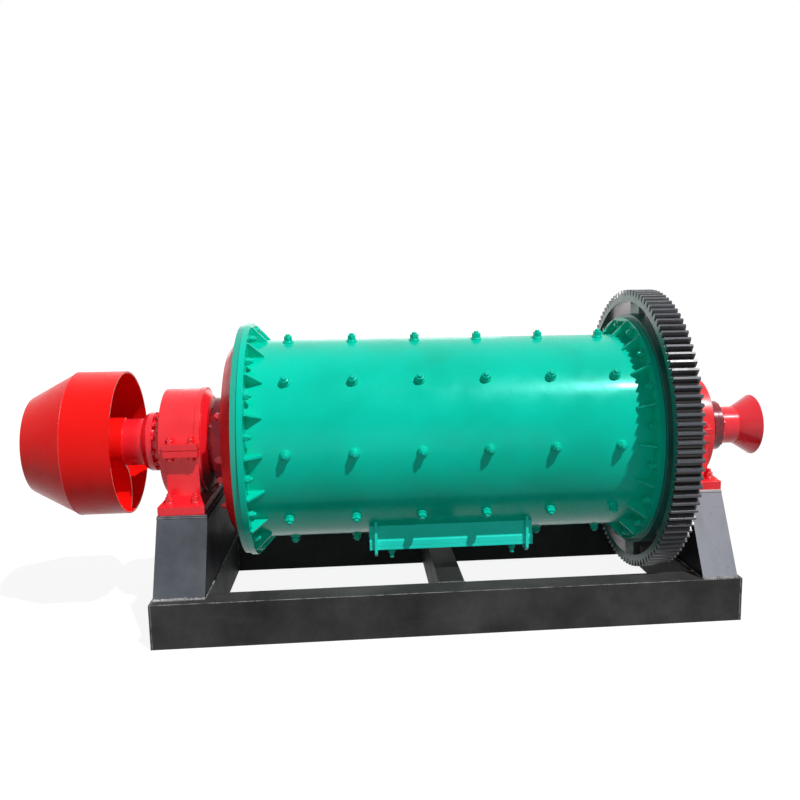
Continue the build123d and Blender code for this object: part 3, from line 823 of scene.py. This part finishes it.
def shell_welds():
    """A bead round the shell behind each flange, and beads on both sides of every gusset."""
    coarse = 0.005
    pile = Pile()
    for end, side in ENDS:
        flange = face("shell_flange_" + end, -side)
        pile.add(bead(ring(flange, SHELL_R), FLANGE_BEAD, ALONG_X, closed=True))
        for k in range(GUSSETS):
            angle = k * 360.0 / GUSSETS
            for sign in (-1, 1):
                offset = outward(angle + 90.0) * GUSSET_HALF * sign
                root = around(flange, SHELL_R, angle) + offset
                toe = around(flange - side * GUSSET_LENGTH, SHELL_R, angle) + offset
                tip = around(flange, GUSSET_TIP_R, angle) + offset
                pile.add(bead(line(root, toe, coarse), GUSSET_BEAD, outward(angle)))
                pile.add(bead(line(root, tip, coarse), GUSSET_BEAD, ALONG_X))
    pile.build("shell_welds", GREEN, "mill", "green_paint")


def feeder_welds():
    """Beads round the drum's seam and mouth, the trumpet's cone and the bolted joints' flanges."""
    pile = Pile()
    for x, radius, size in (
        (face("feeder_cone", 1), 0.3285, DRUM_BEAD),
        (face("feeder_mouth_ring", -1) + 0.0038, 0.2130, DRUM_BEAD),
        (OUTLET_JOINT + 0.115, 0.0905, CONE_BEAD),
        (OUTLET_JOINT + OUTLET_FLANGE, 0.0915, JOINT_BEAD),
        (FEED_JOINT - NECK_FLANGE, 0.1085, JOINT_BEAD),
    ):
        pile.add(bead(ring(x, radius), size, ALONG_X, closed=True))
    pile.build("feeder_welds", RED, "mill", "red_paint")


liner_bolts()
flange_nuts()
head_bolts()
hatch_bolts()
bearing_bolts()
frame_welds()
seat_welds()
shell_welds()
feeder_welds()


# Floor, light and camera
scene = bpy.context.scene


def pale_floor():
    """A wide floor that looks white to the camera and in reflections, and keeps shadows."""
    reach, lowered = 60, 0.0005
    corners = [(-reach, -reach, 0), (reach, -reach, 0), (reach, reach, 0), (-reach, reach, 0)]
    mesh = bpy.data.meshes.new("floor")
    mesh.from_pydata(corners, [], [(0, 1, 2, 3)])
    floor = bpy.data.objects.new("floor", mesh)
    scene.collection.objects.link(floor)
    floor.location.z = -lowered
    paint = Paint("floor_pale")
    paint.dress({"Base Color": (0.18, 0.18, 0.18), "Roughness": 0.9, "Specular IOR Level": 0.0})
    matt = paint.shader.outputs[0]
    glow = paint.new("ShaderNodeEmission", {"Color": (1.0, 1.0, 1.0), "Strength": 0.90})
    bright = paint.new("ShaderNodeAddShader", {0: matt, 1: glow.outputs[0]}).outputs[0]
    surface = paint.tree.nodes["Material Output"].inputs["Surface"]
    paint.link(paint.choose(paint.direct_rays(), matt, bright), surface)
    mesh.materials.append(paint.material)


def studio_world():
    """Dim cool light from all round, behind a background that looks white."""
    world = bpy.data.worlds.new("studio")
    scene.world = world
    world.use_nodes = True
    wiring = Wiring(world.node_tree)
    dim = wiring.tree.nodes["Background"]
    wiring.put(dim.inputs["Color"], (0.93, 0.96, 1.0))
    wiring.put(dim.inputs["Strength"], 0.17)
    white = wiring.new("ShaderNodeBackground", {"Color": (1.0, 1.0, 1.0), "Strength": 1.0})
    surface = wiring.tree.nodes["World Output"].inputs["Surface"]
    sky = wiring.choose(wiring.direct_rays(), dim.outputs[0], white.outputs[0])
    wiring.link(sky, surface)


def lamp(name, kind, direction, energy, distance=0.0, **settings):
    """A lamp that stands in a direction from the mill's middle, and shines on it."""
    middle = Vector((0.0, 0.0, 0.8))
    data = bpy.data.lights.new(name, kind)
    data.energy = energy
    for setting, value in settings.items():
        setattr(data, setting, value)
    light = bpy.data.objects.new(name, data)
    scene.collection.objects.link(light)
    direction = Vector(direction).normalized()
    light.matrix_world = aim(middle + direction * distance, direction)


def panel(name, direction, energy, distance, width, height):
    """A wide soft lamp."""
    lamp(name, "AREA", direction, energy, distance, shape="RECTANGLE", size=width, size_y=height)


# The fitted camera: angles in radians, lengths in metres, and the lens in pixels of the photograph
CAMERA_PLACE = (-0.4006, -3.7844, 1.4226)
YAW, PITCH, ROLL = 0.091, 0.142, 0.014
FOCAL, CENTRE_U, CENTRE_V, IMAGE = 798.7, 428.3, 415.0, 800.0
SENSOR = 36.0


def camera():
    """The camera at the photograph's viewing angle."""
    data = bpy.data.cameras.new("camera")
    data.sensor_width = SENSOR
    data.lens = FOCAL / IMAGE * SENSOR
    data.shift_x = -(CENTRE_U - IMAGE / 2) / IMAGE
    data.shift_y = (CENTRE_V - IMAGE / 2) / IMAGE
    data.clip_end = 200.0
    level = math.cos(PITCH)
    forward = Vector((math.sin(YAW) * level, math.cos(YAW) * level, -math.sin(PITCH)))
    right = Vector((math.cos(YAW), -math.sin(YAW), 0.0))
    down = forward.cross(right)
    rolled_right = right * math.cos(ROLL) + down * math.sin(ROLL)
    rolled_down = down * math.cos(ROLL) - right * math.sin(ROLL)
    pose = Matrix((rolled_right, -rolled_down, -forward)).transposed().to_4x4()
    pose.translation = Vector(CAMERA_PLACE)
    cam = bpy.data.objects.new("camera", data)
    scene.collection.objects.link(cam)
    cam.matrix_world = pose
    scene.camera = cam


pale_floor()
studio_world()
lamp("key", "SUN", (0.347, -0.455, 0.820), 3.0, angle=math.radians(1.5))
panel("front_fill", (0.0, -1.0, 0.05), 17.0, distance=4.5, width=3.0, height=2.0)
panel("back_fill", (-0.15, 1.0, 0.25), 22.0, distance=5.0, width=4.0, height=2.5)
camera()
scene.view_settings.view_transform = "Standard"
